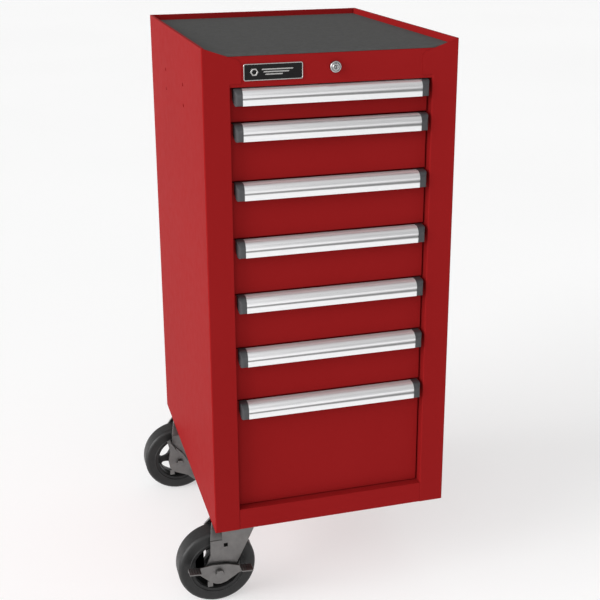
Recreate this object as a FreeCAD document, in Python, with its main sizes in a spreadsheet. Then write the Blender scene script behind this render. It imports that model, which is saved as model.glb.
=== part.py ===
"""Side tool cabinet on casters: a folded-steel case with seven drawers on telescopic slides.

The case bolts to a larger roller cabinet through its right wall, so only its left edge has casters. Its top
is a shallow tray with a mat, its front frame stands proud of the drawers, and each drawer has a full-width
aluminium pull with plastic end caps. A lock in the header drops a bar behind the right stile.

Every length is in millimetres. +Z is up, -Y is the front, and the origin is on the floor at the middle of
the box around the whole object. Case pieces are drawn in the case's own frame, whose origin is at the middle
of the case's underside, and caster pieces about the middle of their axle, with the floor 76.2 below it.
"""
import FreeCAD, Part
import math
import os
import Sketcher
from FreeCAD import Placement, Rotation, Vector

OUT = "parts"
DRAWERS = 7
doc = FreeCAD.newDocument("tool_cabinet")
nodes = {}


# ---------------------------------------------------------------- driving dimensions

SIZES = {
    # case
    "case_width": 457.2,
    "case_depth": 571.5,
    "case_height": 906.5,
    "skirt_height": 178.0,
    "steel": 1.2,
    "stile_width": 47.6,
    "jamb_depth": 27.0,
    "stile_lip": 20.0,
    "stile_round": 1.5,
    "bend": 2.4,
    "rear_flange": 15.0,
    "foot_flange": 8.0,
    "rim_width": 5.0,
    "rim_leg": 20.0,
    "tray_depth": 15.0,
    "mat_thick": 4.0,
    "header_height": 52.0,
    "header_tab": 19.0,
    "tab_rise": 8.0,
    "tab_top": 46.0,
    "sill_height": 41.5,
    "floor_rise": 12.5,
    "post_width": 40.0,
    # drawers
    "recess": 16.0,
    "drawer_gap": 3.0,
    "front_side_gap": 2.6,
    "front_thick": 16.0,
    "small_pitch": 61.3,
    "middle_pitch": 103.5,
    "large_pitch": 218.0,
    "tray_half": 168.0,
    "tray_back": 232.0,
    "tray_steel": 1.0,
    "tray_lift": 5.0,
    "tray_below_front": 9.0,
    "hem": 5.0,
    # slides
    "slide_front": -247.0,
    "slide_length": 487.0,
    "slide_half": 18.0,
    "slide_steel": 1.4,
    "slide_step": 4.8,
    "slide_rise": 19.0,
    # pulls
    "pull_half": 161.0,
    "pull_depth": 22.0,
    "pull_height": 29.0,
    "pull_top": -0.8,
    "pull_wall": 2.4,
    "pull_round": 13.0,
    "cap_width": 14.0,
    "cap_proud": 0.8,
    # lock and badge
    "lock_x": 2.0,
    "lock_drop": 24.1,
    "lock_crank": 8.5,
    "lock_travel": 12.0,
    "badge_left": -157.5,
    "badge_width": 102.5,
    "badge_height": 28.0,
    "badge_drop": 13.5,
    # casters
    "caster_height": 190.5,
    "wheel_radius": 76.2,
    "axle_x": -219.0,
    "caster_y": 223.0,
    "trail": 42.0,
    "plate_x": 95.0,
    "plate_y": 115.0,
    "plate_thick": 5.0,
    "bolt_x": 72.0,
    "bolt_y": 90.0,
    "bolt_hole": 4.5,
    "race_radius": 41.0,
    "fork_gap": 58.0,
    "fork_steel": 4.0,
    "tyre_width": 45.0,
    "rim_radius": 50.0,
    "hub_radius": 18.0,
    "axle_radius": 6.35,
    "sleeve_radius": 9.5,
    "kingpin_radius": 9.0,
    "running": 0.1,
    "lever_reach": 62.0,
    # holes in the side walls
    "side_hole": 4.5,
    "side_hole_y": 300.0,
    "side_hole_z": 630.0,
    "side_hole_mid_z": 465.0,
    "handle_hole": 3.5,
    "handle_hole_y": 195.0,
    "handle_hole_z": 38.0,
    "handle_hole_mid_z": 799.0,
}
# How far each caster's lever and wheel are turned about the axle.
BRAKE_ANGLES = {"front": 5.0, "rear": 60.0}
WHEEL_ANGLES = {"front": 0.0, "rear": -10.0}
# Half of a wheel window's outline: radii about the axle, and angles from the window's middle line.
WINDOW = [
    (22.5, 0), (22.8, 14), (24.0, 24), (27.5, 31), (32.0, 35), (37.0, 36.5), (40.5, 33.5),
    (42.5, 27), (43.4, 12),
]


class Size:
    """A length that carries the sheet formula that gives it, so arithmetic on it stays bound to the sheet."""

    def __init__(self, number, formula):
        self.number = number
        self.formula = formula

    def __add__(self, other):
        other = as_size(other)
        return Size(self.number + other.number, f"({self.formula} + {other.formula})")

    def __sub__(self, other):
        other = as_size(other)
        return Size(self.number - other.number, f"({self.formula} - {other.formula})")

    def __mul__(self, other):
        other = as_size(other)
        return Size(self.number * other.number, f"({self.formula} * {other.formula})")

    def __truediv__(self, other):
        other = as_size(other)
        return Size(self.number / other.number, f"({self.formula} / {other.formula})")

    def __neg__(self):
        return as_size(0) - self

    def __radd__(self, other):
        return as_size(other) + self

    def __rsub__(self, other):
        return as_size(other) - self

    def __rmul__(self, other):
        return as_size(other) * self


def as_size(value):
    return value if isinstance(value, Size) else Size(float(value), f"({float(value)!r})")


def make_sheet():
    sheet = doc.addObject("Spreadsheet::Sheet", "sizes")
    for row, (alias, value) in enumerate(SIZES.items(), start=1):
        sheet.set(f"A{row}", alias)
        sheet.set(f"B{row}", str(value))
        sheet.setAlias(f"B{row}", alias)
    doc.recompute()


def size(alias):
    return Size(SIZES[alias], f"sizes.{alias}")


def bind(thing, prop, value):
    thing.setExpression(prop, as_size(value).formula)


# ---------------------------------------------------------------- modelling helpers

# Each origin plane, and whether its sketch normal points along the positive axis.
PLANES = {"XY": ("XY_Plane", True), "XZ": ("XZ_Plane", False), "YZ": ("YZ_Plane", True)}


class Piece:
    """A PartDesign body built from sketches on its own origin planes."""

    def __init__(self, label):
        self.body = doc.addObject("PartDesign::Body", label)
        self.body.Label = label
        self.count = 0

    def name(self, kind):
        self.count += 1
        return f"{self.body.Name}_{kind}_{self.count}"

    def sketch(self, plane, at, loops):
        """Closed loops at a height along the plane's axis: lists of (u, v), or ("circle", u, v, r)."""
        role, positive = PLANES[plane]
        flat = self.body.newObject("Sketcher::SketchObject", self.name("sketch"))
        origin = [f for f in self.body.Origin.OriginFeatures if f.Role == role][0]
        flat.AttachmentSupport = [(origin, "")]
        flat.MapMode = "FlatFace"
        bind(flat, "AttachmentOffset.Base.z", at if positive else -as_size(at))
        for loop in loops:
            if loop[0] == "circle":
                self.add_circle(flat, *loop[1:])
            else:
                self.add_polygon(flat, loop)
        return flat

    def add_polygon(self, flat, points):
        points = [(as_size(u), as_size(v)) for u, v in points]
        first = flat.GeometryCount
        corners = [Vector(u.number, v.number, 0) for u, v in points]
        for i, start in enumerate(corners):
            flat.addGeometry(Part.LineSegment(start, corners[(i + 1) % len(corners)]))
        for i in range(len(points)):
            following = first + (i + 1) % len(points)
            flat.addConstraint(Sketcher.Constraint("Coincident", first + i, 2, following, 1))
        for i, (u, v) in enumerate(points):
            for kind, value in (("DistanceX", u), ("DistanceY", v)):
                at = flat.addConstraint(Sketcher.Constraint(kind, -1, 1, first + i, 1, value.number))
                flat.setExpression(f"Constraints[{at}]", value.formula)

    def add_circle(self, flat, u, v, radius):
        u, v, radius = as_size(u), as_size(v), as_size(radius)
        centre = Vector(u.number, v.number, 0)
        at = flat.addGeometry(Part.Circle(centre, Vector(0, 0, 1), radius.number))
        for kind, value in (("DistanceX", u), ("DistanceY", v)):
            row = flat.addConstraint(Sketcher.Constraint(kind, -1, 1, at, 3, value.number))
            flat.setExpression(f"Constraints[{row}]", value.formula)
        row = flat.addConstraint(Sketcher.Constraint("Radius", at, radius.number))
        flat.setExpression(f"Constraints[{row}]", radius.formula)

    def pad(self, plane, low, high, *loops):
        """Adds the loops' prism between two heights along the plane's axis."""
        feature = self.body.newObject("PartDesign::Pad", self.name("pad"))
        feature.Profile = self.sketch(plane, low, loops)
        feature.Reversed = not PLANES[plane][1]
        bind(feature, "Length", as_size(high) - low)
        return feature

    def cut(self, plane, low, high, *loops):
        """Removes the loops' prism between two heights along the plane's axis."""
        doc.recompute()
        before = self.body.Shape.Volume
        feature = self.body.newObject("PartDesign::Pocket", self.name("pocket"))
        feature.Profile = self.sketch(plane, low, loops)
        feature.Reversed = PLANES[plane][1]
        bind(feature, "Length", as_size(high) - low)
        doc.recompute()
        if self.body.Shape.Volume > before - 0.01:
            raise RuntimeError(f"{feature.Name} removed nothing")
        return feature

    def own_axis(self):
        """The body's own Y axis, which every turned part is drawn about."""
        return ([f for f in self.body.Origin.OriginFeatures if f.Role == "Y_Axis"][0], [""])

    def revolve(self, points):
        """A full turn of a profile drawn in the XY plane."""
        feature = self.body.newObject("PartDesign::Revolution", self.name("revolution"))
        feature.Profile = self.sketch("XY", 0, [points])
        feature.ReferenceAxis = self.own_axis()
        feature.Angle = 360
        return feature

    def ring_pattern(self, feature, count):
        pattern = self.body.newObject("PartDesign::PolarPattern", self.name("pattern"))
        pattern.Originals = [feature]
        pattern.Axis = self.own_axis()
        pattern.Angle = 360
        pattern.Occurrences = count
        self.body.Tip = pattern
        return pattern

    def fillet(self, radius, chosen):
        """Rounds the edges whose midpoint and direction the test accepts."""
        doc.recompute()
        base = self.body.Tip
        names = [f"Edge{i}" for i, edge in enumerate(base.Shape.Edges, start=1) if chosen(edge)]
        if not names:
            raise RuntimeError(f"{self.body.Name}: no edge to round")
        feature = self.body.newObject("PartDesign::Fillet", self.name("fillet"))
        feature.Base = (base, names)
        bind(feature, "Radius", radius)
        return feature


def set_place(thing, x, y, z, turn=None):
    x, y, z = as_size(x), as_size(y), as_size(z)
    thing.Placement = Placement(Vector(x.number, y.number, z.number), turn or Rotation())
    for axis, value in (("x", x), ("y", y), ("z", z)):
        bind(thing, f"Placement.Base.{axis}", value)


def straight_edge_at(*tests):
    """Picks straight edges along an axis that pass through a point, such as ("Z", (10, 20, None))."""

    def chosen(edge):
        if edge.Curve.TypeId != "Part::GeomLine":
            return False
        middle = edge.CenterOfMass
        along = edge.Curve.Direction
        for axis, point in tests:
            lined = abs(getattr(along, axis.lower())) > 0.999
            values = zip((middle.x, middle.y, middle.z), point)
            if lined and all(want is None or abs(is_at - want) < 0.05 for is_at, want in values):
                return True
        return False

    return chosen


def rectangle(u0, u1, v0, v1):
    return [(u0, v0), (u1, v0), (u1, v1), (u0, v1)]


def block(name, low, high):
    """A Part::Box between two corners."""
    made = doc.addObject("Part::Box", name)
    for prop, a, b in zip(("Length", "Width", "Height"), low, high):
        bind(made, prop, as_size(b) - a)
    set_place(made, *low)
    return made


def group(name, members):
    made = doc.addObject("Part::Compound", name)
    made.Links = members
    return made


def subtract(name, base, tool):
    made = doc.addObject("Part::Cut", name)
    made.Base = base
    made.Tool = tool
    return made


def keep(label, thing):
    """Marks an object as a sub-part whose file carries this label."""
    thing.Label = label
    nodes[label] = thing
    return thing


make_sheet()

# ---------------------------------------------------------------- places worked out from the sheet

half = size("case_width") / 2
front = -(size("case_depth") / 2)
back = size("case_depth") / 2
top = size("case_height")
steel = size("steel")
opening = half - size("stile_width")
jamb = front + size("jamb_depth")
tray_top = top - size("tray_depth")
header_low = tray_top - size("header_height")
sill_top = size("sill_height")
floor_top = size("floor_rise") + steel
drawer_face = front + size("recess")
drawer_half = opening - size("front_side_gap")
rim_inner = half - size("rim_width")
pull_nose = drawer_face - size("pull_depth")
lock_z = tray_top - size("lock_drop")

# The box around the whole object is centred on the origin: it runs from the left tyres to the right wall,
# and from the pulls' end caps to the back.
tyre_left = size("axle_x") - size("wheel_radius")
case_x = -((half + tyre_left) / 2)
case_y = -((back + (pull_nose - size("cap_proud"))) / 2)
case_z = size("skirt_height")


def in_case(thing):
    set_place(thing, case_x, case_y, case_z)
    return thing


def drawer_tops():
    """Each drawer front's top edge and the distance down to the next one."""
    at = header_low - size("drawer_gap")
    found = []
    for number in range(1, DRAWERS + 1):
        pitch = size("small_pitch" if number == 1 else "large_pitch" if number == DRAWERS else "middle_pitch")
        found.append((at, pitch))
        at = at - pitch
    return found


# ---------------------------------------------------------------- case

def side_panel(label, side, holes):
    """One wall folded round into its front stile, with a hemmed rim on top. side is 1 on the right or -1."""
    piece = Piece(label)
    lip = opening + size("stile_lip")
    rear = half - size("rear_flange")
    section = [
        (half, back), (half, front), (opening, front), (opening, jamb), (lip, jamb), (lip, jamb - steel),
        (opening + steel, jamb - steel), (opening + steel, front + steel), (half - steel, front + steel),
        (half - steel, back - steel), (rear, back - steel), (rear, back),
    ]
    piece.pad("XY", 0, top, [(x * side, y) for x, y in section])
    outer, inner = side * half.number, side * (half - steel).number
    piece.fillet(size("bend"), straight_edge_at(("Z", (outer, front.number, None))))
    piece.fillet(size("bend") - steel, straight_edge_at(("Z", (inner, (front + steel).number, None))))
    piece.fillet(size("bend"), straight_edge_at(("Z", (outer, back.number, None))))
    piece.fillet(size("stile_round"), straight_edge_at(("Z", (side * opening.number, front.number, None))))
    # The foot flange carries the floor panel.
    foot = rectangle(half - size("foot_flange"), half - steel, jamb + 2, back - steel)
    piece.pad("XY", 0, steel, [(x * side, y) for x, y in foot])
    # The jamb stands on the floor panel and stops under the header.
    clear = [(x * side, y) for x, y in rectangle(opening - 1, lip + 1, front + steel, jamb + 1)]
    piece.cut("XY", header_low, top + 1, clear)
    piece.cut("XY", -1, floor_top + 0.3, clear)
    # The stile's face slopes down from the corner to its tab.
    tab_edge = opening - size("header_tab")
    tab_high = tray_top - size("tab_rise")
    corner = half - size("bend")
    slope = (top - tab_high) / (corner - tab_edge)
    at_opening = tab_high + slope * (opening - tab_edge)
    over = [(corner, top), (corner, top + 1), (opening - 1, top + 1), (opening - 1, at_opening - slope)]
    piece.cut("XZ", front - 1, jamb + 1, [(x * side, z) for x, z in over])
    tab_low = tray_top - size("tab_top")
    root = opening + 2
    tab = [
        (root, tab_low), (root, at_opening - 1), (opening, at_opening), (tab_edge + 6, tab_high + slope * 6),
        (tab_edge + 2.2, tab_high - 1.6), (tab_edge + 0.5, tab_high - 4.5), (tab_edge, tab_high - 8),
        (tab_edge, tab_low),
    ]
    piece.pad("XZ", front, front + steel, [(x * side, z) for x, z in tab])
    # The rim folds in and down, and stops short of each end like a mitred hem.
    leg = top - size("rim_leg")
    hem = [
        (half - steel, top), (rim_inner, top), (rim_inner, leg), (rim_inner + steel, leg),
        (rim_inner + steel, top - steel), (half - steel, top - steel),
    ]
    piece.pad("XZ", front + 4, back - 4, [(x * side, z) for x, z in hem])
    wall = sorted((side * half.number, side * (half - steel).number))
    piece.cut("YZ", wall[0] - 1, wall[1] + 1, *holes)
    return in_case(keep(label, piece.body))


def hole_grid(name):
    """Four circles at the corners of a rectangle on a side wall, from the sheet's rows for that pattern."""
    wide, tall, middle = size(f"{name}_y"), size(f"{name}_z"), size(f"{name}_mid_z")
    return [("circle", wide * a / 2, middle + tall * b / 2, size(name)) for a in (-1, 1) for b in (-1, 1)]


def back_panel():
    piece = Piece("back_panel")
    inner = back - steel * 2
    piece.pad("XZ", inner, back - steel, rectangle(-(half - steel), half - steel, steel, top))
    nose = back - steel - size("rim_width")
    leg = top - size("rim_leg")
    hem = [
        (inner, top), (nose, top), (nose, leg), (nose + steel, leg), (nose + steel, top - steel),
        (inner, top - steel),
    ]
    reach = rim_inner - 1.5
    piece.pad("YZ", -reach, reach, hem)
    return in_case(keep("back_panel", piece.body))


def floor_panel():
    piece = Piece("floor_panel")
    reach = half - steel
    rise = size("floor_rise")
    low_front = front + steel + 3
    low_back = back - steel * 2
    channel = [
        (-reach, steel), (-reach + steel, steel), (-reach + steel, rise), (reach - steel, rise),
        (reach - steel, steel), (reach, steel), (reach, floor_top), (-reach, floor_top),
    ]
    piece.pad("XZ", low_front, low_back, channel)
    holes = [("circle", x, y, size("bolt_hole")) for x, y in caster_bolt_places()]
    piece.cut("XY", rise - 1, floor_top + 1, *holes)
    return in_case(keep("floor_panel", piece.body))


def top_panel():
    piece = Piece("top_panel")
    depth = steel + 11
    low = tray_top - depth
    behind = front + steel + 16
    rear = back - steel - size("rim_width")
    channel = [
        (-rim_inner, low), (-rim_inner + steel, low), (-rim_inner + steel, tray_top - steel),
        (rim_inner - steel, tray_top - steel), (rim_inner - steel, low), (rim_inner, low),
        (rim_inner, tray_top), (-rim_inner, tray_top),
    ]
    piece.pad("XZ", behind, rear, channel)
    closing = rectangle(-rim_inner + steel, rim_inner - steel, low, tray_top - steel)
    piece.pad("XZ", rear - steel, rear, closing)
    return in_case(keep("top_panel", piece.body))


def top_mat():
    piece = Piece("top_mat")
    reach = rim_inner - 0.4
    near = front + steel + 0.3
    far = back - steel - size("rim_width") - 0.4
    piece.pad("XY", tray_top, tray_top + size("mat_thick"), rectangle(-reach, reach, near, far))
    high = (tray_top + size("mat_thick")).number
    corners = [("Z", (x.number, y.number, None)) for x in (-reach, reach) for y in (near, far)]
    piece.fillet(4.0, straight_edge_at(*corners))
    piece.fillet(1.0, lambda edge: abs(edge.CenterOfMass.z - high) < 0.01)
    return in_case(keep("top_mat", piece.body))


def header_rail():
    """The cross rail above the drawers, drilled for the lock, with a shelf under the front of the mat."""
    header = Piece("header_rail")
    face = front + steel
    shelf = face + 15
    section = [
        (face, header_low), (jamb, header_low), (jamb, header_low + steel),
        (face + steel, header_low + steel), (face + steel, tray_top - steel), (shelf, tray_top - steel),
        (shelf, tray_top), (face, tray_top),
    ]
    reach = rim_inner - 0.4
    header.pad("YZ", -reach, reach, section)
    header.fillet(2.0, straight_edge_at(("X", (None, face.number, tray_top.number))))
    header.cut("XZ", face - 1, face + steel + 1, ("circle", size("lock_x"), lock_z, 8.7))
    return in_case(keep("header_rail", header.body))


def sill_rail():
    """The channel below the drawers, flush with the stiles."""
    sill = Piece("sill_rail")
    section = [
        (front, 0), (jamb, 0), (jamb, steel), (front + steel, steel), (front + steel, sill_top - steel),
        (jamb, sill_top - steel), (jamb, sill_top), (front, sill_top),
    ]
    sill.pad("YZ", -opening, opening, section)
    edges = [("X", (None, front.number, z)) for z in (sill_top.number, 0)]
    sill.fillet(size("bend") / 2, straight_edge_at(*edges))
    return in_case(keep("sill_rail", sill.body))


def slide_posts():
    """Four channels that bring the slides out to the opening, and two guides for the lock bar."""
    made = []
    width = size("post_width")
    for side in (-1, 1):
        for name, near in (("front", size("slide_front") + 2), ("rear", size("tray_back") - width + 3)):
            post = Piece(f"post_{name}_{'right' if side > 0 else 'left'}")
            far = near + width
            wall = half - steel
            section = [
                (wall, near), (opening, near), (opening, far), (wall, far), (wall, far - steel),
                (opening + steel, far - steel), (opening + steel, near + steel), (wall, near + steel),
            ]
            post.pad("XY", floor_top, header_low - 2, [(x * side, y) for x, y in section])
            made.append(post.body)
    for number, at in enumerate((120, 762)):
        low, high = (opening + 2.5, jamb, at), (opening + 25.5, jamb + 12, at + 14)
        outside = block(f"guide_outside_{number}", low, high)
        low, high = (opening + 3.9, jamb + 5.7, at - 1), (opening + 24.4, jamb + 9.8, at + 15)
        hollow = block(f"guide_hollow_{number}", low, high)
        made.append(subtract(f"guide_{number}", outside, hollow))
    return in_case(keep("slide_posts", group("slide_posts", made)))


# ---------------------------------------------------------------- drawers

def slide_channel(name, side, web, lip, z, reach):
    """One member of a slide: a C channel from its web out to its lips, open to the other members."""
    piece = Piece(f"{name}_{'right' if side > 0 else 'left'}")
    begin = size("slide_front")
    thick = size("slide_steel")
    turn = 1 if lip.number > web.number else -1
    inside = web + thick * turn
    curl = lip - thick * turn
    section = [
        (web, z - reach), (lip, z - reach), (lip, z - reach + 3), (curl, z - reach + 3),
        (curl, z - reach + thick), (inside, z - reach + thick), (inside, z + reach - thick),
        (curl, z + reach - thick),
        (curl, z + reach - 3), (lip, z + reach - 3), (lip, z + reach), (web, z + reach),
    ]
    piece.pad("XZ", begin, begin + size("slide_length"), [(x * side, y) for x, y in section])
    return piece.body


def slide_members(number, z):
    """The three members of a drawer's two slides, nested in one another."""
    reach, step = size("slide_half"), size("slide_step")
    against = size("tray_half")
    layers = {
        "rail": (opening, opening - 11, reach),
        "middle": (opening - 2.0, opening - 10.5, reach - step),
        "inner": (against, against + 8.2, reach - step * 2),
    }
    made = {}
    for layer, (web, lip, tall) in layers.items():
        made[layer] = [slide_channel(f"{layer}_{number}", side, web, lip, z, tall) for side in (-1, 1)]
    return made


def drawer_box(number, high, pitch):
    """The tray with hemmed sides, and the hollow front panel it hangs from."""
    piece = Piece(f"drawer_{number}")
    thin = size("tray_steel")
    low = high - pitch + size("drawer_gap")
    rear_of_front = drawer_face + size("front_thick")
    bottom = low + size("tray_lift")
    rim = high - size("tray_below_front")
    side = size("tray_half")
    far = size("tray_back")
    piece.pad("XZ", drawer_face, rear_of_front, rectangle(-drawer_half, drawer_half, low, high))
    piece.fillet(1.5, straight_edge_at(*front_edges(low, high)))
    hollow = rectangle(-drawer_half + steel, drawer_half - steel, drawer_face + steel, rear_of_front - thin)
    piece.cut("XY", low - 1, high - steel, hollow)
    piece.pad("XY", bottom, rim, rectangle(-side, side, rear_of_front, far))
    mouth = side - thin - size("hem")
    piece.cut("XY", rim - thin, rim + 1, rectangle(-mouth, mouth, rear_of_front, far - thin - size("hem")))
    inside = side - thin
    piece.cut("XY", bottom + thin, rim - thin, rectangle(-inside, inside, rear_of_front, far - thin))
    return keep(f"drawer_{number}", piece.body)


def front_edges(low, high):
    y = drawer_face.number
    across = [("X", (None, y, z.number)) for z in (low, high)]
    upright = [("Z", (x, y, None)) for x in (-drawer_half.number, drawer_half.number)]
    return across + upright


def pull_outline(high, proud):
    """The pull's outside, from the drawer's face over its rounded nose to its lower edge."""
    nose = pull_nose - proud
    crest = high - size("pull_top") + proud
    foot = crest - size("pull_height") - proud * 2
    return nose, crest, foot


def drawer_pull(number, high):
    """An extruded hook section: fingers reach up behind its nose from below."""
    piece = Piece(f"pull_{number}")
    nose, crest, foot = pull_outline(high, as_size(0))
    wall = size("pull_wall")
    groove = crest - 17
    section = [
        (drawer_face, crest), (nose, crest), (nose, groove), (nose + 0.8, groove - 0.6),
        (nose + 0.8, groove - 1.4), (nose, groove - 2), (nose + 0.6, foot), (nose + wall, foot),
        (nose + wall, crest - wall),
        (drawer_face - wall, crest - wall), (drawer_face - wall, crest - 14.5), (drawer_face, crest - 14.5),
    ]
    reach = size("pull_half")
    piece.pad("YZ", -reach, reach, section)
    piece.fillet(size("pull_round"), straight_edge_at(("X", (None, nose.number, crest.number))))
    inner = ("X", (None, (nose + wall).number, (crest - wall).number))
    piece.fillet(size("pull_round") - wall, straight_edge_at(inner))
    lower = [("X", (None, y.number, foot.number)) for y in (nose + 0.6, nose + wall)]
    piece.fillet(0.7, straight_edge_at(*lower))
    return keep(f"pull_{number}", piece.body)


def pull_caps(number, high):
    """Two hollow end caps, a little proud of the pull all round."""
    made = []
    nose, crest, foot = pull_outline(high, size("cap_proud"))
    for side in (-1, 1):
        piece = Piece(f"cap_{number}_{'right' if side > 0 else 'left'}")
        inner = size("pull_half")
        outer = inner + size("cap_width")
        low, high_x = (inner, outer) if side > 0 else (-outer, -inner)
        section = [(drawer_face, crest), (nose, crest), (nose, foot), (drawer_face, foot + 8)]
        piece.pad("YZ", low, high_x, section)
        piece.fillet(size("pull_round"), straight_edge_at(("X", (None, nose.number, crest.number))))
        piece.fillet(2.5, straight_edge_at(("X", (None, nose.number, foot.number))))
        end = side * outer.number
        piece.fillet(1.5, end_edges(end, drawer_face.number))
        corner = [
            (outer + 1, nose - 1), (outer + 1, nose + 8), (outer, nose + 8), (outer - 0.9, nose + 4.4),
            (outer - 2.6, nose + 1.9), (outer - 5.6, nose), (outer - 5.6, nose - 1),
        ]
        piece.cut("XY", foot - 1, crest + 1, [(x * side, y) for x, y in corner])
        wall = as_size(2)
        hollow = [
            (drawer_face - wall, crest - wall), (nose + wall + 8, crest - wall),
            (nose + wall, crest - wall - 8), (nose + wall, foot + wall + 1),
            (drawer_face - wall, foot + wall + 8),
        ]
        start, stop = (inner - 1, outer - 7.5) if side > 0 else (7.5 - outer, 1 - inner)
        piece.cut("YZ", start, stop, hollow)
        made.append(piece.body)
    return keep(f"pull_caps_{number}", group(f"pull_caps_{number}", made))


def end_edges(x, face):
    """The edges round a cap's outer end, apart from the one on the drawer's face."""

    def chosen(edge):
        middle = edge.BoundBox
        on_end = abs(middle.XMin - x) < 0.01 and abs(middle.XMax - x) < 0.01
        on_face = abs(middle.YMin - face) < 0.01 and abs(middle.YMax - face) < 0.01
        return on_end and not on_face

    return chosen


def make_drawers():
    rails = []
    for number, (high, pitch) in enumerate(drawer_tops(), start=1):
        slide_z = high - pitch + size("drawer_gap") + size("tray_lift") + size("slide_rise")
        in_case(drawer_box(number, high, pitch))
        in_case(drawer_pull(number, high))
        in_case(pull_caps(number, high))
        members = slide_members(number, slide_z)
        rails += members["rail"]
        in_case(keep(f"slide_middle_{number}", group(f"slide_middle_{number}", members["middle"])))
        in_case(keep(f"slide_inner_{number}", group(f"slide_inner_{number}", members["inner"])))
    in_case(keep("slide_rails", group("slide_rails", rails)))


# ---------------------------------------------------------------- lock and badge

def badge():
    piece = Piece("badge")
    left = size("badge_left")
    right = left + size("badge_width")
    high = tray_top - size("badge_drop")
    low = high - size("badge_height")
    face = front + steel
    piece.pad("XZ", face - 2, face, rectangle(left, right, low, high))
    corners = [("Y", (x.number, None, z.number)) for x in (left, right) for z in (low, high)]
    piece.fillet(3.0, straight_edge_at(*corners))
    edge = 1.5
    piece.cut("XZ", face - 3, face - 1.4, rectangle(left + edge, right - edge, low + edge, high - edge))
    return in_case(keep("badge", piece.body))


def lock_housing():
    """The barrel with its bezel, and the nut that clamps it behind the header."""
    face = front + steel
    barrel = Piece("lock_barrel")
    barrel.revolve([(7.05, -7.5), (9.1, -7.5), (9.9, -6.7), (9.9, 0), (8.6, 0), (8.6, 18), (7.05, 18)])
    set_place(barrel.body, size("lock_x"), face, lock_z)
    nut = Piece("lock_nut")
    hexagon = [(13.9, 0), (6.95, 12), (-6.95, 12), (-13.9, 0), (-6.95, -12), (6.95, -12)]
    nut.pad("XZ", 0, 4, hexagon, ("circle", 0, 0, 8.7))
    set_place(nut.body, size("lock_x"), face + steel, lock_z)
    return in_case(keep("lock_housing", group("lock_housing", [barrel.body, nut.body])))


def lock_cylinder():
    """The core with its round keyway, and the crank on its tail that drives the lock bar."""
    piece = Piece("lock_cylinder")
    keyway = [(2.6, -7.8), (2.6, -4), (4.2, -4), (4.2, -7.8)]
    disc = size("jamb_depth") - steel + 2.7
    tail = [(6.5, -7.8), (6.95, -7.4), (6.95, disc), (12, disc), (12, disc + 3), (0, disc + 3)]
    piece.revolve([(0, -7.8)] + keyway + tail)
    offset = size("lock_crank") * 0.70711
    piece.pad("XZ", disc + 3, disc + 8, ("circle", offset, offset, 2.5))
    piece.cut("XZ", -9, -4, rectangle(-0.9, 0.9, 4.0, 6.2))
    set_place(piece.body, case_x + size("lock_x"), case_y + front + steel, case_z + lock_z)
    return keep("lock_cylinder", piece.body)


def lock_bar():
    """A flat bar behind the right stile, with a catch beside each drawer front and an arm to the lock."""
    piece = Piece("lock_bar")
    near = jamb + 6.25
    left, right = opening + 4.4, opening + 23.9
    pin_z = lock_z + size("lock_crank") * 0.70711
    arm_low, arm_high = pin_z - 7, pin_z + 7
    arm_end = size("lock_x") - 4
    catch = opening - 1.5
    outline = [(arm_end, arm_low), (arm_end, arm_high), (right, arm_high), (right, 62), (left, 62)]
    for high, _ in reversed(drawer_tops()):
        outline += [(left, high - 30), (catch, high - 30), (catch, high - 20), (left, high - 20)]
    outline.append((left, arm_low))
    pin_x = size("lock_x") + size("lock_crank") * 0.70711
    slot = rectangle(pin_x - 3.3, pin_x + 5.8, pin_z - 3.2, pin_z + 3.2)
    piece.pad("XZ", near, near + 3, outline)
    piece.cut("XZ", near - 1, near + 4, slot)
    return in_case(keep("lock_bar", piece.body))


# ---------------------------------------------------------------- casters

def caster_places():
    """Where each caster's axle is in the case's frame."""
    low = size("wheel_radius") - size("skirt_height")
    return {
        "front": (size("axle_x"), -size("caster_y"), low),
        "rear": (size("axle_x"), size("caster_y"), low),
    }


def caster_bolt_places():
    swivel = size("axle_x") + size("trail")
    return [
        (swivel + size("bolt_x") * a / 2, y + size("bolt_y") * b / 2)
        for y in (-size("caster_y"), size("caster_y"))
        for a in (-1, 1)
        for b in (-1, 1)
    ]


def at_axle(thing, end, turn=None):
    x, y, z = caster_places()[end]
    set_place(thing, case_x + x, case_y + y, case_z + z, turn)
    return thing


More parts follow.
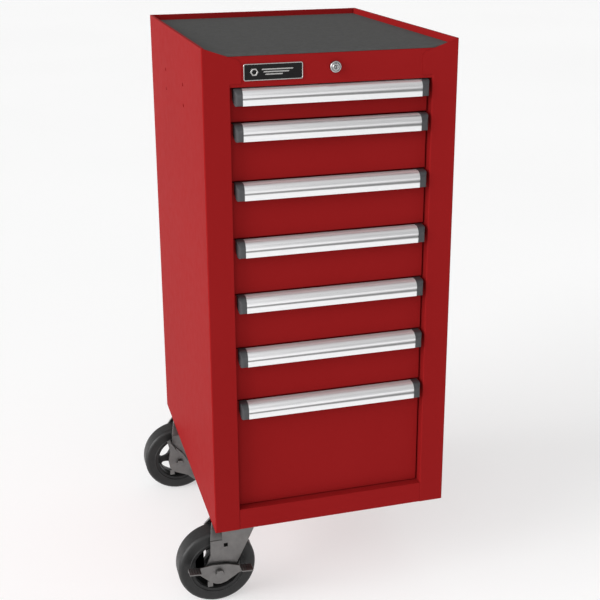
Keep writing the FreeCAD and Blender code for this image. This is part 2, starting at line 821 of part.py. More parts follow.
def caster_plates():
    """Top plates with their pressed races, kingpins, kingpin nuts, ball rings and mounting bolts."""
    made = []
    high = size("caster_height") - size("wheel_radius")
    under = high - size("plate_thick")
    race = under - 7.8
    trail = size("trail")
    for end in ("front", "rear"):
        plate = Piece(f"plate_{end}")
        reach_x, reach_y = size("plate_x") / 2, size("plate_y") / 2
        plate.pad("XY", under, high, rectangle(trail - reach_x, trail + reach_x, -reach_y, reach_y))
        corners = [
            ("Z", ((trail + reach_x * a).number, (reach_y * b).number, None))
            for a in (-1, 1)
            for b in (-1, 1)
        ]
        plate.fillet(8.0, straight_edge_at(*corners))
        holes = [
            ("circle", trail + size("bolt_x") * a / 2, size("bolt_y") * b / 2, size("bolt_hole"))
            for a in (-1, 1)
            for b in (-1, 1)
        ]
        plate.cut("XY", under - 1, high + 1, *holes)
        plate.pad("XY", race, under, ("circle", trail, 0, size("race_radius") - 6))
        plate.pad("XY", race - 17.5, race, ("circle", trail, 0, size("kingpin_radius")))
        nut = Piece(f"kingpin_nut_{end}")
        nut_hole = ("circle", trail, 0, size("kingpin_radius"))
        nut.pad("XY", race - 17, race - 10, ("circle", trail, 0, 14), nut_hole)
        balls = doc.addObject("Part::Torus", f"balls_{end}")
        bind(balls, "Radius1", size("race_radius") - 12)
        bind(balls, "Radius2", 2.2)
        set_place(balls, trail, 0, race - 2.5)
        caster = group(f"caster_top_{end}", [plate.body, nut.body, balls])
        made.append(at_axle(caster, end))
    made.append(in_case(group("caster_bolts", caster_bolts())))
    return keep("caster_plates", group("caster_plates", made))


def caster_bolts():
    """Eight hexagon bolts up through the plates and the floor, with their nuts."""
    made = []
    plate_low = size("floor_rise") - size("plate_thick")
    for number, (x, y) in enumerate(caster_bolt_places(), start=1):
        bolt = Piece(f"caster_bolt_{number}")
        bolt.pad("XY", -5, 0, hexagon(6.5))
        bolt.pad("XY", 0, 16, ("circle", 0, 0, 4))
        set_place(bolt.body, x, y, plate_low)
        nut = Piece(f"caster_nut_{number}")
        nut.pad("XY", 0, 6, hexagon(6.5), ("circle", 0, 0, 4))
        set_place(nut.body, x, y, floor_top)
        made += [bolt.body, nut.body]
    return made


def hexagon(across_half):
    """A hexagon whose flats are this far from its centre, with two corners on the u axis."""
    corner = across_half * 1.1547
    return [
        (corner, 0), (corner / 2, across_half), (-corner / 2, across_half),
        (-corner, 0), (-corner / 2, -across_half), (corner / 2, -across_half),
    ]


def caster_fork(end):
    """A pressed fork: a round crown, two legs raked back to the axle, and a roof folded over the wheel."""
    piece = Piece(f"fork_{end}")
    crown_high = size("caster_height") - size("wheel_radius") - size("plate_thick") - 7.8 - 5
    crown_low = crown_high - 4.5
    inner = size("fork_gap") / 2
    outer = inner + size("fork_steel")
    rear, fold, eave = -15, 8, 67
    leg = [(fold, crown_high), (74, crown_high), (70, 80), (34, 7), (24, -16), (10, -25), (-10, -25)]
    brake_side = [(-22, -17), (-25, 0), (-24, 12), (rear, 36), (rear, eave), (fold, eave)]
    plain_side = [(-13, -16), (-13, 10), (-2, 34), (rear, 60), (rear, eave), (fold, eave)]
    piece.pad("XZ", -outer, -inner, leg + brake_side)
    piece.pad("XZ", inner, outer, leg + plain_side)
    piece.pad("XY", crown_low, crown_high, rectangle(fold, 74, -outer, outer))
    roof = [
        (-outer, eave - 1), (-8, crown_high), (8, crown_high), (outer, eave - 1), (inner, eave - 1),
        (6.5, crown_low), (-6.5, crown_low), (-inner, eave - 1),
    ]
    piece.pad("YZ", rear, fold + 1, roof)
    lean = [(rear - 1, eave), (rear, eave), (-5, crown_high + 1), (rear - 1, crown_high + 1)]
    piece.cut("XZ", -outer - 1, outer + 1, lean)
    trail = size("trail")
    piece.pad("XY", crown_low, crown_high, ("circle", trail, 0, size("race_radius")))
    hole = ("circle", trail, 0, size("kingpin_radius") + size("running"))
    piece.cut("XY", crown_low - 1, crown_high + 1, hole)
    piece.pad("XZ", -outer - 1.2, -outer, [(rear, 66), (rear, 38), (-9, 22), (1, 22), (fold, 66)])
    piece.pad("XZ", -outer - 3.6, -outer, rectangle(-23, -13, -31, -19))
    piece.cut("XZ", -outer - 8, outer + 8, rectangle(11, 19, 50, 58))
    piece.cut("XZ", -outer - 8, outer + 8, ("circle", 0, 0, size("axle_radius")))
    return at_axle(keep(f"fork_{end}", piece.body), end)


def window_outline():
    """One rounded window of the wheel, up and to the left of the hub."""
    points = []
    for radius, angle in WINDOW + [(radius, -angle) for radius, angle in WINDOW[:0:-1]]:
        toward = math.radians(135 + angle)
        points.append((radius * math.cos(toward), radius * math.sin(toward)))
    return points


def caster_wheel(end):
    """The spoked core: a hub, a web with four windows and a rim under the tyre."""
    piece = Piece(f"wheel_{end}")
    bore, hub, rim = size("sleeve_radius") + size("running"), size("hub_radius"), size("rim_radius")
    side = size("fork_gap") / 2 - 0.4
    bead = size("tyre_width") / 2 - 5
    well = rim - 4.5
    piece.revolve([
        (bore, -side), (hub - 4, -side), (hub, -bead), (hub + 2, -5), (well - 2, -5), (well, -bead),
        (rim, -bead), (rim, bead), (well, bead), (well - 2, 5), (hub + 2, 5), (hub, bead),
        (hub - 4, side), (bore, side),
    ])
    window = piece.cut("XZ", -8, 8, window_outline())
    piece.ring_pattern(window, 4)
    turn = Rotation(Vector(0, 1, 0), WHEEL_ANGLES[end])
    return at_axle(keep(f"wheel_{end}", piece.body), end, turn)


def caster_tyre(end):
    piece = Piece(f"tyre_{end}")
    wide = size("tyre_width") / 2
    rim, tread = size("rim_radius"), size("wheel_radius")
    piece.revolve([
        (rim, -wide + 5), (rim - 3, -wide + 5), (rim - 3, -wide + 2), (rim + 6, -wide), (tread - 8, -wide),
        (tread - 4, -wide + 1.5), (tread - 1.2, -wide + 4.5), (tread, -wide + 9), (tread, wide - 9),
        (tread - 1.2, wide - 4.5), (tread - 4, wide - 1.5), (tread - 8, wide), (rim + 6, wide),
        (rim - 3, wide - 2), (rim - 3, wide - 5), (rim, wide - 5),
    ])
    return at_axle(keep(f"tyre_{end}", piece.body), end)


def caster_axle(end):
    """The axle bolt, its nut, the sleeve that the hub turns on and the brake's cam washer."""
    outer = size("fork_gap") / 2 + size("fork_steel") + 1.2
    radius = size("axle_radius")
    bolt = Piece(f"axle_bolt_{end}")
    bolt.pad("XZ", -outer - 13.5, -outer - 7.2, hexagon(7.5))
    bolt.pad("XZ", -outer - 7.2, outer + 11, ("circle", 0, 0, radius))
    sleeve = Piece(f"axle_sleeve_{end}")
    gap = size("fork_gap") / 2
    sleeve.pad("XZ", -gap, gap, ("circle", 0, 0, size("sleeve_radius")), ("circle", 0, 0, radius))
    washer = Piece(f"cam_washer_{end}")
    washer.pad("XZ", -outer + 1.2 - 3.6, -outer + 1.2, ("circle", 0, 0, 13), ("circle", 0, 0, radius))
    nut = Piece(f"axle_nut_{end}")
    nut.pad("XZ", outer - 1.2, outer + 7.8, hexagon(9.5), ("circle", 0, 0, radius))
    made = group(f"axle_{end}", [bolt.body, sleeve.body, washer.body, nut.body])
    return at_axle(keep(f"axle_{end}", made), end)


def brake_lever(end):
    """A rocking plate on the axle with a foot pad bent out at each end."""
    piece = Piece(f"brake_lever_{end}")
    reach = size("lever_reach")
    near = -(size("fork_gap") / 2 + size("fork_steel") + 4.0)
    far = near - 3.5
    plate = [
        (-reach, 12), (-reach, 4), (-39, -3), (-15, -21), (-4, -25), (4, -25), (15, -21), (39, -3),
        (reach, 4), (reach, 12), (39, 12), (14, 17), (-14, 17), (-39, 12),
    ]
    piece.pad("XZ", far, near, plate)
    for side in (-1, 1):
        low, high = (39, reach) if side > 0 else (-reach, as_size(-39))
        piece.pad("XY", 9, 12, rectangle(low, high, far - 18.5, far + 0.5))
    piece.cut("XZ", far - 1, near + 1, ("circle", 0, 0, size("axle_radius") + size("running")))
    turn = Rotation(Vector(0, 1, 0), BRAKE_ANGLES[end])
    return at_axle(keep(f"brake_lever_{end}", piece.body), end, turn)


# ---------------------------------------------------------------- assembly

def build():
    side_panel("left_side_panel", -1, hole_grid("handle_hole"))
    side_panel("right_side_panel", 1, hole_grid("side_hole"))
    back_panel()
    floor_panel()
    top_panel()
    top_mat()
    header_rail()
    sill_rail()
    slide_posts()
    make_drawers()
    badge()
    lock_housing()
    lock_cylinder()
    lock_bar()
    caster_plates()
    for end in ("front", "rear"):
        caster_fork(end)
        caster_wheel(end)
        caster_tyre(end)
        caster_axle(end)
        brake_lever(end)


def check():
    failed = [thing.Name for thing in doc.Objects if {"Invalid", "Error"} & set(thing.State)]
    if failed:
        raise RuntimeError(f"failed objects: {failed}")
    for label, thing in nodes.items():
        if thing.Shape.isNull() or not thing.Shape.isValid() or not thing.Shape.Solids:
            raise RuntimeError(f"{label} has no valid solid")


def export():
    os.makedirs(OUT, exist_ok=True)
    for name in os.listdir(OUT):
        if name.endswith(".step"):
            os.remove(os.path.join(OUT, name))
    for label, thing in nodes.items():
        thing.Shape.exportStep(os.path.join(OUT, f"{label}.step"))
    print(f"{len(nodes)} sub-parts written")


build()
doc.recompute()
check()
export()
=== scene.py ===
"""The looks of a side tool cabinet on casters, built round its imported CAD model. Lengths are in metres."""
import math

import bmesh
import bpy
from mathutils import Matrix, Vector


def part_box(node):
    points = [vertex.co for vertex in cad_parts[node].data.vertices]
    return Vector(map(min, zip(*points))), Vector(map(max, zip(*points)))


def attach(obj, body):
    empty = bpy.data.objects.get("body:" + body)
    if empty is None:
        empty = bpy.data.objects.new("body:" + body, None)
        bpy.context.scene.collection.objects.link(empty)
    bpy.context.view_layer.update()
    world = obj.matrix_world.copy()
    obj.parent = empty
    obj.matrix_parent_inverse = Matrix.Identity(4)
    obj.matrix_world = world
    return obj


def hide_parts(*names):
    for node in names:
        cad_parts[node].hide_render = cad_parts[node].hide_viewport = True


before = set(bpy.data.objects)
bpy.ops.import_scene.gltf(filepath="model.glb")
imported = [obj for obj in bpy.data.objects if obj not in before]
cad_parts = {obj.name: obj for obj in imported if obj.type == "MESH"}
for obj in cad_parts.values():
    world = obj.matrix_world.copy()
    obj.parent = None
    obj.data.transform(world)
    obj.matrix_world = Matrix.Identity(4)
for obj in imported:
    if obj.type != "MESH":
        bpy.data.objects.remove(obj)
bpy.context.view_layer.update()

MM = 0.001
ENDS = ("front", "rear")
DRAWERS = range(1, 8)
BRAKE_ANGLES = {"front": 5.0, "rear": 60.0}
# The groove along a pull: its share of the pull's height, and its distance below the crest.
GROOVE_SHARE = 0.43
GROOVE_DROP = 17 * MM
scene = bpy.context.scene


# ---------------------------------------------------------------- materials

class Finish:
    """A material's node tree, with short ways to add textures in the piece's own coordinates."""

    def __init__(self, name):
        self.material = bpy.data.materials.new(name)
        self.material.use_nodes = True
        self.tree = self.material.node_tree
        self.shader = self.tree.nodes["Principled BSDF"]
        self.where = self.tree.nodes.new("ShaderNodeTexCoord").outputs["Object"]

    def set(self, **values):
        for name, value in values.items():
            self.shader.inputs[name.replace("_", " ")].default_value = value

    def node(self, kind, **inputs):
        made = self.tree.nodes.new(kind)
        for name, value in inputs.items():
            made.inputs[name.replace("_", " ")].default_value = value
        return made

    def link(self, source, target):
        self.tree.links.new(source, target)

    def stretched(self, scale):
        """The piece's coordinates multiplied by a vector."""
        mapping = self.node("ShaderNodeMapping", Scale=scale)
        self.link(self.where, mapping.inputs["Vector"])
        return mapping.outputs["Vector"]

    def noise(self, scale, detail=2.0, roughness=0.5, where=None):
        made = self.node("ShaderNodeTexNoise", Scale=scale, Detail=detail, Roughness=roughness)
        self.link(where or self.where, made.inputs["Vector"])
        return made.outputs["Fac"]

    def ramp(self, value, low, high, start=0.3, stop=0.7):
        """Maps a texture to a range of numbers."""
        made = self.tree.nodes.new("ShaderNodeMapRange")
        for name, number in (("From Min", start), ("From Max", stop), ("To Min", low), ("To Max", high)):
            made.inputs[name].default_value = number
        self.link(value, made.inputs["Value"])
        return made.outputs["Result"]

    def maths(self, operation, first, second=None):
        """One step of arithmetic on textures or numbers."""
        made = self.tree.nodes.new("ShaderNodeMath")
        made.operation = operation
        for socket, value in zip(made.inputs, (first, second)):
            if isinstance(value, float):
                socket.default_value = value
            elif value is not None:
                self.link(value, socket)
        return made.outputs["Value"]

    def colours(self, value, first, second, start=0.3, stop=0.7):
        made = self.tree.nodes.new("ShaderNodeValToRGB")
        for element, colour, place in zip(made.color_ramp.elements, (first, second), (start, stop)):
            element.color = (*colour, 1)
            element.position = place
        self.link(value, made.inputs["Fac"])
        return made.outputs["Color"]

    def colour_from(self, output):
        self.link(output, self.shader.inputs["Base Color"])

    def roughness_from(self, output):
        self.link(output, self.shader.inputs["Roughness"])

    def bump(self, height, strength, distance, after=None):
        made = self.node("ShaderNodeBump", Strength=strength, Distance=distance)
        self.link(height, made.inputs["Height"])
        if after is not None:
            self.link(after, made.inputs["Normal"])
        self.link(made.outputs["Normal"], self.shader.inputs["Normal"])
        return made.outputs["Normal"]


def red_paint():
    """Powder coat: a fine orange peel, slightly uneven in colour and gloss."""
    paint = Finish("red_powder_coat")
    dark, light = (0.248, 0.0100, 0.0106), (0.262, 0.0112, 0.0120)
    paint.colour_from(paint.colours(paint.noise(3.0, 4.0), dark, light))
    paint.roughness_from(paint.ramp(paint.noise(60.0, 3.0), 0.46, 0.52))
    paint.bump(paint.noise(420.0, 2.0), 0.1, 0.0002)
    paint.set(Specular_IOR_Level=0.008)
    return paint.material


def brushed_aluminium():
    """Aluminium brushed along the pull, so its grain runs along X, with painted shade along its groove and a
    painted dull grey top.
    """
    metal = Finish("brushed_aluminium")
    grain = metal.noise(1.0, 4.0, 0.6, metal.stretched((6.0, 2200.0, 2200.0)))
    split = metal.tree.nodes.new("ShaderNodeSeparateXYZ")
    box = metal.tree.nodes.new("ShaderNodeTexCoord").outputs["Generated"]
    metal.link(box, split.inputs["Vector"])
    across, up = split.outputs["X"], split.outputs["Z"]
    # Painted shade: a soft grey line along the groove, which widens towards the right, stands in for the
    # groove's shadow.
    away = metal.maths("ABSOLUTE", metal.maths("SUBTRACT", up, GROOVE_SHARE))
    width = metal.ramp(across, 0.05, 0.16, 0.0, 1.0)
    line = metal.ramp(metal.maths("DIVIDE", away, width), 0.3, 1.0, 0.15, 1.0)
    # Painted shade: the pull's top strip is darker here and less metallic further down, standing in for the
    # dull reflection along its top.
    painted_top_shade = metal.ramp(up, 1.0, 0.8, 0.9, 0.98)
    brushed = metal.ramp(grain, 0.86, 0.97)
    shade = metal.maths("MULTIPLY", metal.maths("MULTIPLY", line, painted_top_shade), brushed)
    metal.colour_from(metal.colours(shade, (0.0, 0.0, 0.0), (0.97, 0.97, 0.98), 0.0, 1.0))
    metal.roughness_from(metal.ramp(grain, 0.27, 0.4))
    metal.bump(grain, 0.2, 0.00006)
    metal.link(metal.ramp(up, 1.0, 0.35, 0.9, 0.98), metal.shader.inputs["Metallic"])
    return metal.material


def zinc_plate():
    """Zinc plating over pressed steel: cloudy patches, a faint warm tint and fine scratches."""
    metal = Finish("zinc_plate")
    cloud = metal.noise(55.0, 5.0, 0.6)
    metal.colour_from(metal.colours(cloud, (0.165, 0.160, 0.158), (0.205, 0.198, 0.194)))
    metal.roughness_from(metal.ramp(metal.noise(160.0, 4.0), 0.36, 0.5))
    metal.bump(metal.noise(900.0, 3.0), 0.1, 0.0001)
    metal.set(Metallic=1.0)
    return metal.material


def polished(name, dark, light, rough):
    metal = Finish(name)
    metal.colour_from(metal.colours(metal.noise(300.0), dark, light))
    metal.roughness_from(metal.ramp(metal.noise(500.0, 3.0), rough - 0.04, rough + 0.04))
    metal.set(Metallic=1.0)
    return metal.material


def plastic(name, dark, light, rough, grain, depth, gloss=0.5):
    """Moulded plastic or rubber with a fine grain."""
    made = Finish(name)
    made.colour_from(made.colours(made.noise(90.0, 4.0), dark, light))
    made.roughness_from(made.ramp(made.noise(200.0, 3.0), rough - 0.05, rough + 0.07))
    made.bump(made.noise(grain, 3.0), 0.3, depth)
    made.set(Specular_IOR_Level=gloss)
    return made.material


red = red_paint()
aluminium = brushed_aluminium()
zinc = zinc_plate()
bright = polished("lock_chrome", (0.40, 0.40, 0.41), (0.50, 0.50, 0.50), 0.2)
silver = polished("badge_silver", (0.42, 0.41, 0.40), (0.50, 0.49, 0.48), 0.24)
cap_plastic = plastic("black_cap_plastic", (0.034, 0.035, 0.038), (0.048, 0.049, 0.053), 0.36, 1500.0, 0.0001)
core_plastic = plastic(
    "wheel_core_plastic", (0.008, 0.008, 0.008), (0.013, 0.013, 0.013), 0.40, 1200.0, 0.0001, 0.3,
)
tyre_rubber = plastic("tyre_rubber", (0.009, 0.009, 0.009), (0.015, 0.015, 0.015), 0.45, 900.0, 0.0001, 0.4)
mat_foam = plastic("mat_foam", (0.064, 0.064, 0.063), (0.074, 0.074, 0.073), 0.80, 700.0, 0.0004, 0.1)
liner_foam = plastic("liner_foam", (0.020, 0.020, 0.021), (0.032, 0.032, 0.033), 0.75, 900.0, 0.0002, 0.2)
badge_gloss = plastic("badge_gloss", (0.004, 0.004, 0.004), (0.006, 0.006, 0.006), 0.2, 500.0, 0.00002, 0.18)
# Painted shadow: the grey of the strip laid in each pull's groove.
groove_shadow_grey = polished("groove_shadow_grey", (0.32, 0.32, 0.32), (0.38, 0.38, 0.38), 0.5)
# Painted shade: a near-black for thin shapes laid in the lock's groove and keyway, where there is only
# shadow.
gap_shade_black = plastic("painted_recess_shade", (0.004, 0.004, 0.004), (0.007, 0.007, 0.007), 0.6, 500.0, 0.00002, 0.2)


# ---------------------------------------------------------------- making pieces

def link(obj):
    scene.collection.objects.link(obj)
    return obj


def dress(obj, material, body):
    """Gives a piece its material and the body that it moves with."""
    obj.data.materials.clear()
    obj.data.materials.append(material)
    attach(obj, body)
    return obj


def smooth(mesh, degrees=32):
    mesh.shade_smooth()
    mesh.set_sharp_from_angle(angle=math.radians(degrees))


def refined(node, name, radius, segments=2):
    """A copy of a CAD node with its facets joined and its sharp edges softly rounded."""
    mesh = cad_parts[node].data.copy()
    work = bmesh.new()
    work.from_mesh(mesh)
    bmesh.ops.remove_doubles(work, verts=work.verts, dist=2e-6)
    bmesh.ops.dissolve_limit(work, angle_limit=math.radians(0.5), verts=work.verts, edges=work.edges)
    sharp = [e for e in work.edges if len(e.link_faces) == 2 and e.calc_face_angle(0) > math.radians(35)]
    bmesh.ops.bevel(
        work, geom=sharp, offset=radius, offset_type="OFFSET", segments=segments, profile=0.5,
        affect="EDGES", clamp_overlap=True,
    )
    work.to_mesh(mesh)
    work.free()
    obj = link(bpy.data.objects.new(name, mesh))
    smooth(mesh)
    weighted = obj.modifiers.new("weighted", "WEIGHTED_NORMAL")
    weighted.keep_sharp = True
    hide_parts(node)
    return obj


def from_bmesh(name, work, degrees=32):
    mesh = bpy.data.meshes.new(name)
    bmesh.ops.recalc_face_normals(work, faces=work.faces)
    work.to_mesh(mesh)
    work.free()
    smooth(mesh, degrees)
    return link(bpy.data.objects.new(name, mesh))


def lathe(name, profile, centre, steps=96, degrees=32):
    """A ring turned about a Y axis through the centre, from a closed profile of (radius, y)."""
    work = bmesh.new()
    rings = []
    for i in range(steps):
        turn = 2 * math.pi * i / steps
        across, up = math.cos(turn), math.sin(turn)
        points = [(centre.x + r * across, centre.y + y, centre.z + r * up) for r, y in profile]
        rings.append([work.verts.new(point) for point in points])
    for i in range(steps):
        here, following = rings[i], rings[(i + 1) % steps]
        for j in range(len(profile)):
            k = (j + 1) % len(profile)
            work.faces.new((here[j], here[k], following[k], following[j]))
    return from_bmesh(name, work, degrees)


# ---------------------------------------------------------------- case

def case():
    for node, radius in (
        ("left_side_panel", 0.35), ("right_side_panel", 0.35), ("back_panel", 0.35), ("header_rail", 0.3),
        ("sill_rail", 0.3), ("top_panel", 0.3), ("floor_panel", 0.3),
    ):
        dress(refined(node, f"{node}_painted", radius * MM), red, "root")
    dress(refined("top_mat", "top_mat_foam", 0.4 * MM), mat_foam, "root")
    for node in ("slide_posts", "slide_rails"):
        plain(node, zinc)
    plain("lock_bar", zinc)


def plain(node, material):
    """A CAD node that keeps its mesh and takes a material."""
    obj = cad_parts[node]
    obj.data.materials.clear()
    obj.data.materials.append(material)


# ---------------------------------------------------------------- drawers

def drawers():
    for number in DRAWERS:
        body = f"drawer_{number}"
        dress(refined(f"drawer_{number}", f"drawer_{number}_painted", 0.3 * MM), red, body)
        pull = refined(f"pull_{number}", f"pull_{number}_brushed", 0.25 * MM)
        dress(pull, aluminium, body)
        caps = refined(f"pull_caps_{number}", f"pull_caps_{number}_moulded", 0.4 * MM)
        dress(caps, cap_plastic, body)
        plain(f"slide_inner_{number}", zinc)
        plain(f"slide_middle_{number}", zinc)
        liner(number)
        painted_groove_shadow(number)


def painted_groove_shadow(number):
    """A dark grey strip in the groove along the pull's nose: a painted shadow at the bottom of the groove."""
    low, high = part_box(f"pull_{number}")
    groove = high.z - GROOVE_DROP
    work = bmesh.new()
    bmesh.ops.create_cube(work, size=1.0)
    middle = ((low.x + high.x) / 2, low.y + 0.75 * MM, groove - 1.0 * MM)
    shape = Matrix.Translation(middle) @ Matrix.Diagonal((high.x - low.x - 0.4 * MM, 0.5 * MM, 1.3 * MM, 1))
    bmesh.ops.transform(work, matrix=shape, verts=work.verts)
    bmesh.ops.bevel(work, geom=work.edges[:], offset=0.12 * MM, segments=2, profile=0.5, affect="EDGES")
    obj = from_bmesh(f"pull_{number}_groove", work)
    dress(obj, groove_shadow_grey, f"drawer_{number}")


def liner(number):
    """A foam liner on the drawer's floor, ribbed from side to side."""
    low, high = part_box(f"drawer_{number}")
    inner_low, inner_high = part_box(f"slide_inner_{number}")
    left, right = inner_low.x + 10.5 * MM, inner_high.x - 10.5 * MM
    near, far = low.y + 17 * MM, high.y - 2.5 * MM
    base = low.z + 6.1 * MM
    pitch, steps = 4 * MM, 6
    count = int((far - near) / pitch)
    work = bmesh.new()
    rows = []
    for i in range(count * steps + 1):
        y = near + i * pitch / steps
        z = base + (1.6 + 0.4 * math.cos(2 * math.pi * i / steps)) * MM
        section = ((left, base), (left, z), (right, z), (right, base))
        rows.append([work.verts.new((x, y, h)) for x, h in section])
    for here, following in zip(rows, rows[1:]):
        for j in range(4):
            k = (j + 1) % 4
            work.faces.new((here[j], here[k], following[k], following[j]))
    work.faces.new(rows[0])
    work.faces.new(reversed(rows[-1]))
    obj = from_bmesh(f"drawer_{number}_liner", work, 60)
    dress(obj, liner_foam, f"drawer_{number}")


# ---------------------------------------------------------------- lock and badge

def lock():
    """A bright bezel round a groove, and a core with a raised ring and a keyway; near-black shapes in the
    groove and the keyway are painted shade.
    """
    dress(refined("lock_housing", "lock_bezel", 0.25 * MM), bright, "root")
    dress(refined("lock_cylinder", "lock_core", 0.2 * MM), bright, "lock_core")
    low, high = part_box("lock_housing")
    face = low.y
    centre = Vector(((low.x + high.x) / 2, face, (low.z + high.z) / 2))
    groove = [(6.4, -0.05), (7.6, -0.05), (7.6, 0.8), (6.4, 0.8)]
    ring = lathe("lock_groove_shade", [(r * MM, y * MM) for r, y in groove], centre, 64)
    dress(ring, gap_shade_black, "root")
    collar = [(3.9, -0.35), (4.5, -0.75), (5.2, -0.75), (5.6, -0.35), (5.6, 0.1), (3.9, 0.1)]
    ring = lathe("lock_core_ring", [(r * MM, y * MM) for r, y in collar], centre, 64)
    dress(ring, bright, "lock_core")
    slot = raised("lock_keyway_shade", rounded(0.75 * MM, 2.6 * MM, 0.5 * MM, 4), centre, -0.3 * MM, 0.42 * MM)
    dress(slot, gap_shade_black, "lock_core")


def rounded(half_width, half_height, radius, steps=8):
    """A rounded rectangle about the origin, anticlockwise."""
    points = []
    for corner, (a, b) in enumerate(((1, 1), (-1, 1), (-1, -1), (1, -1))):
        for i in range(steps + 1):
            turn = math.pi / 2 * (corner + i / steps)
            points.append((
                a * (half_width - radius) + radius * math.cos(turn),
                b * (half_height - radius) + radius * math.sin(turn),
            ))
    return points


def raised(name, outline, centre, low, high, hole=None, soft=0.0):
    """A flat shape in the XZ plane, thickened towards -Y from low to high, with a softened front edge."""
    work = bmesh.new()
    loops = []
    for points, inward in ((outline, 1), (hole, -1)):
        if points is None:
            continue
        rings = []
        for depth, shrink in ((low, 0), (high - soft, 0), (high, soft * inward)):
            ring = []
            for (x, z), (ax, az) in zip(points, normals(points)):
                point = (centre.x + x - ax * shrink, centre.y - depth, centre.z + z - az * shrink)
                ring.append(work.verts.new(point))
            rings.append(ring)
        for here, following in zip(rings, rings[1:]):
            for i in range(len(points)):
                k = (i + 1) % len(points)
                work.faces.new((here[i], here[k], following[k], following[i]))
        loops.append((rings[0], rings[-1]))
    if hole is None:
        work.faces.new(loops[0][0])
        work.faces.new(loops[0][1])
    else:
        for outer, inner in zip(loops[0], loops[1]):
            for i in range(len(outer)):
                k = (i + 1) % len(outer)
                work.faces.new((outer[i], outer[k], inner[k], inner[i]))
    return from_bmesh(name, work, 40)


def normals(points):
    """Unit vectors that point out of an anticlockwise outline at each of its points."""
    found = []
    for i in range(len(points)):
        (px, pz), (nx, nz) = points[i - 1], points[(i + 1) % len(points)]
        along = Vector((nx - px, nz - pz)).normalized()
        found.append((along.y, -along.x))
    return found


def badge():
    """A gloss plate in a thin bright frame, with slanted bars beside a hexagon in place of any name."""
    dress(refined("badge", "badge_plate", 0.25 * MM), badge_gloss, "root")
    low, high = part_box("badge")
    centre = Vector(((low.x + high.x) / 2, low.y + 0.6 * MM, (low.z + high.z) / 2))
    wide, tall = (high.x - low.x) / 2, (high.z - low.z) / 2
    frame_out = rounded(wide + 0.3 * MM, tall + 0.3 * MM, 3.2 * MM)
    frame_in = rounded(wide - 1.3 * MM, tall - 1.3 * MM, 1.8 * MM)
    ring = raised("badge_frame", frame_out, centre, -1.2 * MM, 1.0 * MM, frame_in, 0.35 * MM)
    dress(ring, silver, "root")
    hexagon = [(7.0 * MM * math.cos(math.pi / 3 * i), 7.0 * MM * math.sin(math.pi / 3 * i)) for i in range(6)]
    inner = [(x * 0.62, z * 0.62) for x, z in hexagon]
    where = centre + Vector((-33 * MM, 0, 0))
    made = raised("badge_hexagon", hexagon, where, -0.6 * MM, 0.5 * MM, inner, 0.25 * MM)
    dress(made, silver, "root")
    for number, (start, length) in enumerate(((-20, 54), (-17, 44), (-14, 30))):
        rise = (4.2 - 4.2 * number) * MM
        half, lean = 1.15 * MM, 0.7 * MM
        bar = [
            (start * MM - lean, -half), ((start + length) * MM - lean, -half),
            ((start + length) * MM + lean, half), (start * MM + lean, half),
        ]
        where = centre + Vector((0, 0, rise))
        made = raised(f"badge_bar_{number + 1}", bar, where, -0.6 * MM, 0.5 * MM, None, 0.25 * MM)
        dress(made, silver, "root")


# ---------------------------------------------------------------- casters

def casters():
    for end in ENDS:
        fork, wheel = f"{end}_fork", f"{end}_wheel"
        dress(refined(f"fork_{end}", f"fork_{end}_pressed", 0.7 * MM, 3), zinc, fork)
        dress(refined(f"axle_{end}", f"axle_{end}_bolt", 0.4 * MM), zinc, fork)
        lever = refined(f"brake_lever_{end}", f"brake_lever_{end}_pressed", 0.6 * MM, 3)
        dress(lever, zinc, f"{end}_brake")
        dress(refined(f"wheel_{end}", f"wheel_{end}_core", 0.6 * MM, 3), core_plastic, wheel)
        dress(refined(f"tyre_{end}", f"tyre_{end}_rubber", 0.5 * MM, 3), tyre_rubber, wheel)
        low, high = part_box(f"tyre_{end}")
        axle = (low + high) / 2
        for face in (-1, 1):
            bead = [(52.5, 22.2), (53.3, 23.1), (54.6, 23.2), (55.6, 22.3), (55.6, 21.0), (52.5, 21.0)]
            name = f"tyre_{end}_bead_{'front' if face < 0 else 'rear'}"
            ring = lathe(name, [(r * MM, y * MM * face) for r, y in bead], axle)
            dress(ring, tyre_rubber, wheel)
        pad_ribs(end, axle)
    dress(refined("caster_plates", "caster_plates_zinc", 0.4 * MM), zinc, "root")


def pad_ribs(end, axle):
    """Grip ribs across the lever's two foot pads."""
    turn = Matrix.Rotation(math.radians(BRAKE_ANGLES[end]), 4, "Y")
    near = -(33 + 4.0 + 3.5) * MM
    for side in (-1, 1):
        for number in range(4):
            x = side * (43.5 + 4.8 * number) * MM
            work = bmesh.new()
            bmesh.ops.create_cube(work, size=1.0)
            size = Matrix.Diagonal((1.6 * MM, 13 * MM, 1.2 * MM, 1))
            shape = Matrix.Translation((x, near - 9 * MM, 12.3 * MM)) @ size
            bmesh.ops.transform(work, matrix=Matrix.Translation(axle) @ turn @ shape, verts=work.verts)
            bmesh.ops.bevel(
                work, geom=work.edges[:], offset=0.35 * MM, segments=2, profile=0.5, affect="EDGES",
            )
            rib = from_bmesh(f"brake_{end}_rib_{'left' if side < 0 else 'right'}_{number + 1}", work)
            dress(rib, zinc, f"{end}_brake")


# ---------------------------------------------------------------- studio

def area_light(name, place, target, size, power, colour=(1, 1, 1)):
    data = bpy.data.lights.new(name, "AREA")
    data.shape = "RECTANGLE"
    data.size, data.size_y = size
    data.energy = power
    data.color = colour
    obj = link(bpy.data.objects.new(name, data))
    obj.location = place
    obj.rotation_euler = (Vector(target) - Vector(place)).to_track_quat("-Z", "Y").to_euler()
    return obj


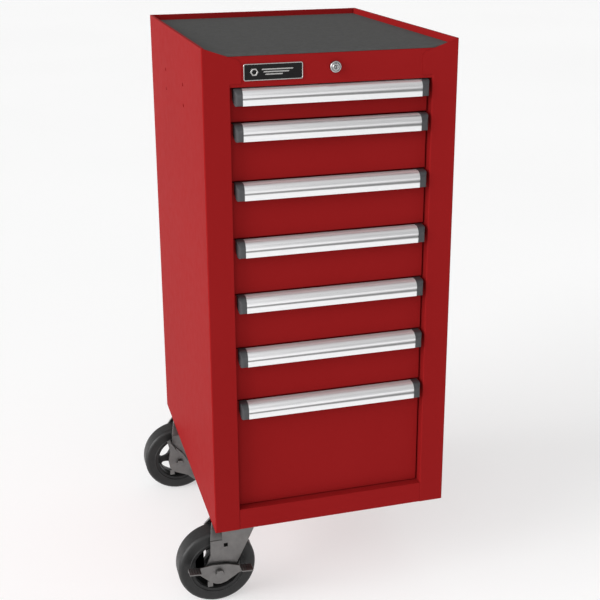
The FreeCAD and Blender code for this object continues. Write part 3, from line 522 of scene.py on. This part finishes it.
def sun(name, place, strength, spread):
    """A distant soft light that shines from a direction."""
    data = bpy.data.lights.new(name, "SUN")
    data.energy = strength
    data.angle = math.radians(spread)
    obj = link(bpy.data.objects.new(name, data))
    obj.rotation_euler = (-Vector(place)).to_track_quat("-Z", "Y").to_euler()
    return obj


def studio():
    """A pale floor in pale surroundings, with soft light from the left, from above and from the front."""
    mesh = bpy.data.meshes.new("floor")
    reach = 30.0
    corners = [(-reach, -reach, 0), (reach, -reach, 0), (reach, reach, 0), (-reach, reach, 0)]
    mesh.from_pydata(corners, [], [(0, 1, 2, 3)])
    floor = link(bpy.data.objects.new("floor", mesh))
    pale = Finish("pale_floor")
    pale.colour_from(pale.colours(pale.noise(0.6), (0.50, 0.50, 0.50), (0.52, 0.52, 0.52)))
    pale.set(Roughness=0.8, Specular_IOR_Level=0.1, Emission_Color=(1, 1, 1, 1), Emission_Strength=0.5)
    mesh.materials.append(pale.material)
    world = bpy.data.worlds.new("pale_surroundings")
    world.use_nodes = True
    sky = world.node_tree.nodes["Background"]
    sky.inputs["Color"].default_value = (1, 1, 1, 1)
    sky.inputs["Strength"].default_value = 0.45
    scene.world = world
    sun("left", (-1.0, -0.15, 0.35), 3.3, 50)
    sun("above", (-0.1, -0.35, 1.0), 0.22, 70)
    area_light("front", (-0.9, -3.0, 2.1), (0, 0, 0.9), (2.4, 3.0), 27)
    scene.view_settings.view_transform = "Standard"


def camera():
    """A longish lens from the front left, a little above the case."""
    data = bpy.data.cameras.new("camera")
    data.sensor_width = 36
    data.lens = 65.33
    data.shift_x = 0.0161
    data.shift_y = -0.1122
    obj = link(bpy.data.objects.new("camera", data))
    yaw, pitch, roll = (math.radians(a) for a in (-15.223, 72.868, -0.419))
    turn = Matrix.Rotation(yaw, 3, "Z") @ Matrix.Rotation(pitch, 3, "X") @ Matrix.Rotation(roll, 3, "Z")
    obj.rotation_euler = turn.to_euler()
    obj.location = (-0.5262, -2.0486, 1.3209)
    scene.camera = obj


case()
drawers()
lock()
badge()
casters()
studio()
camera()
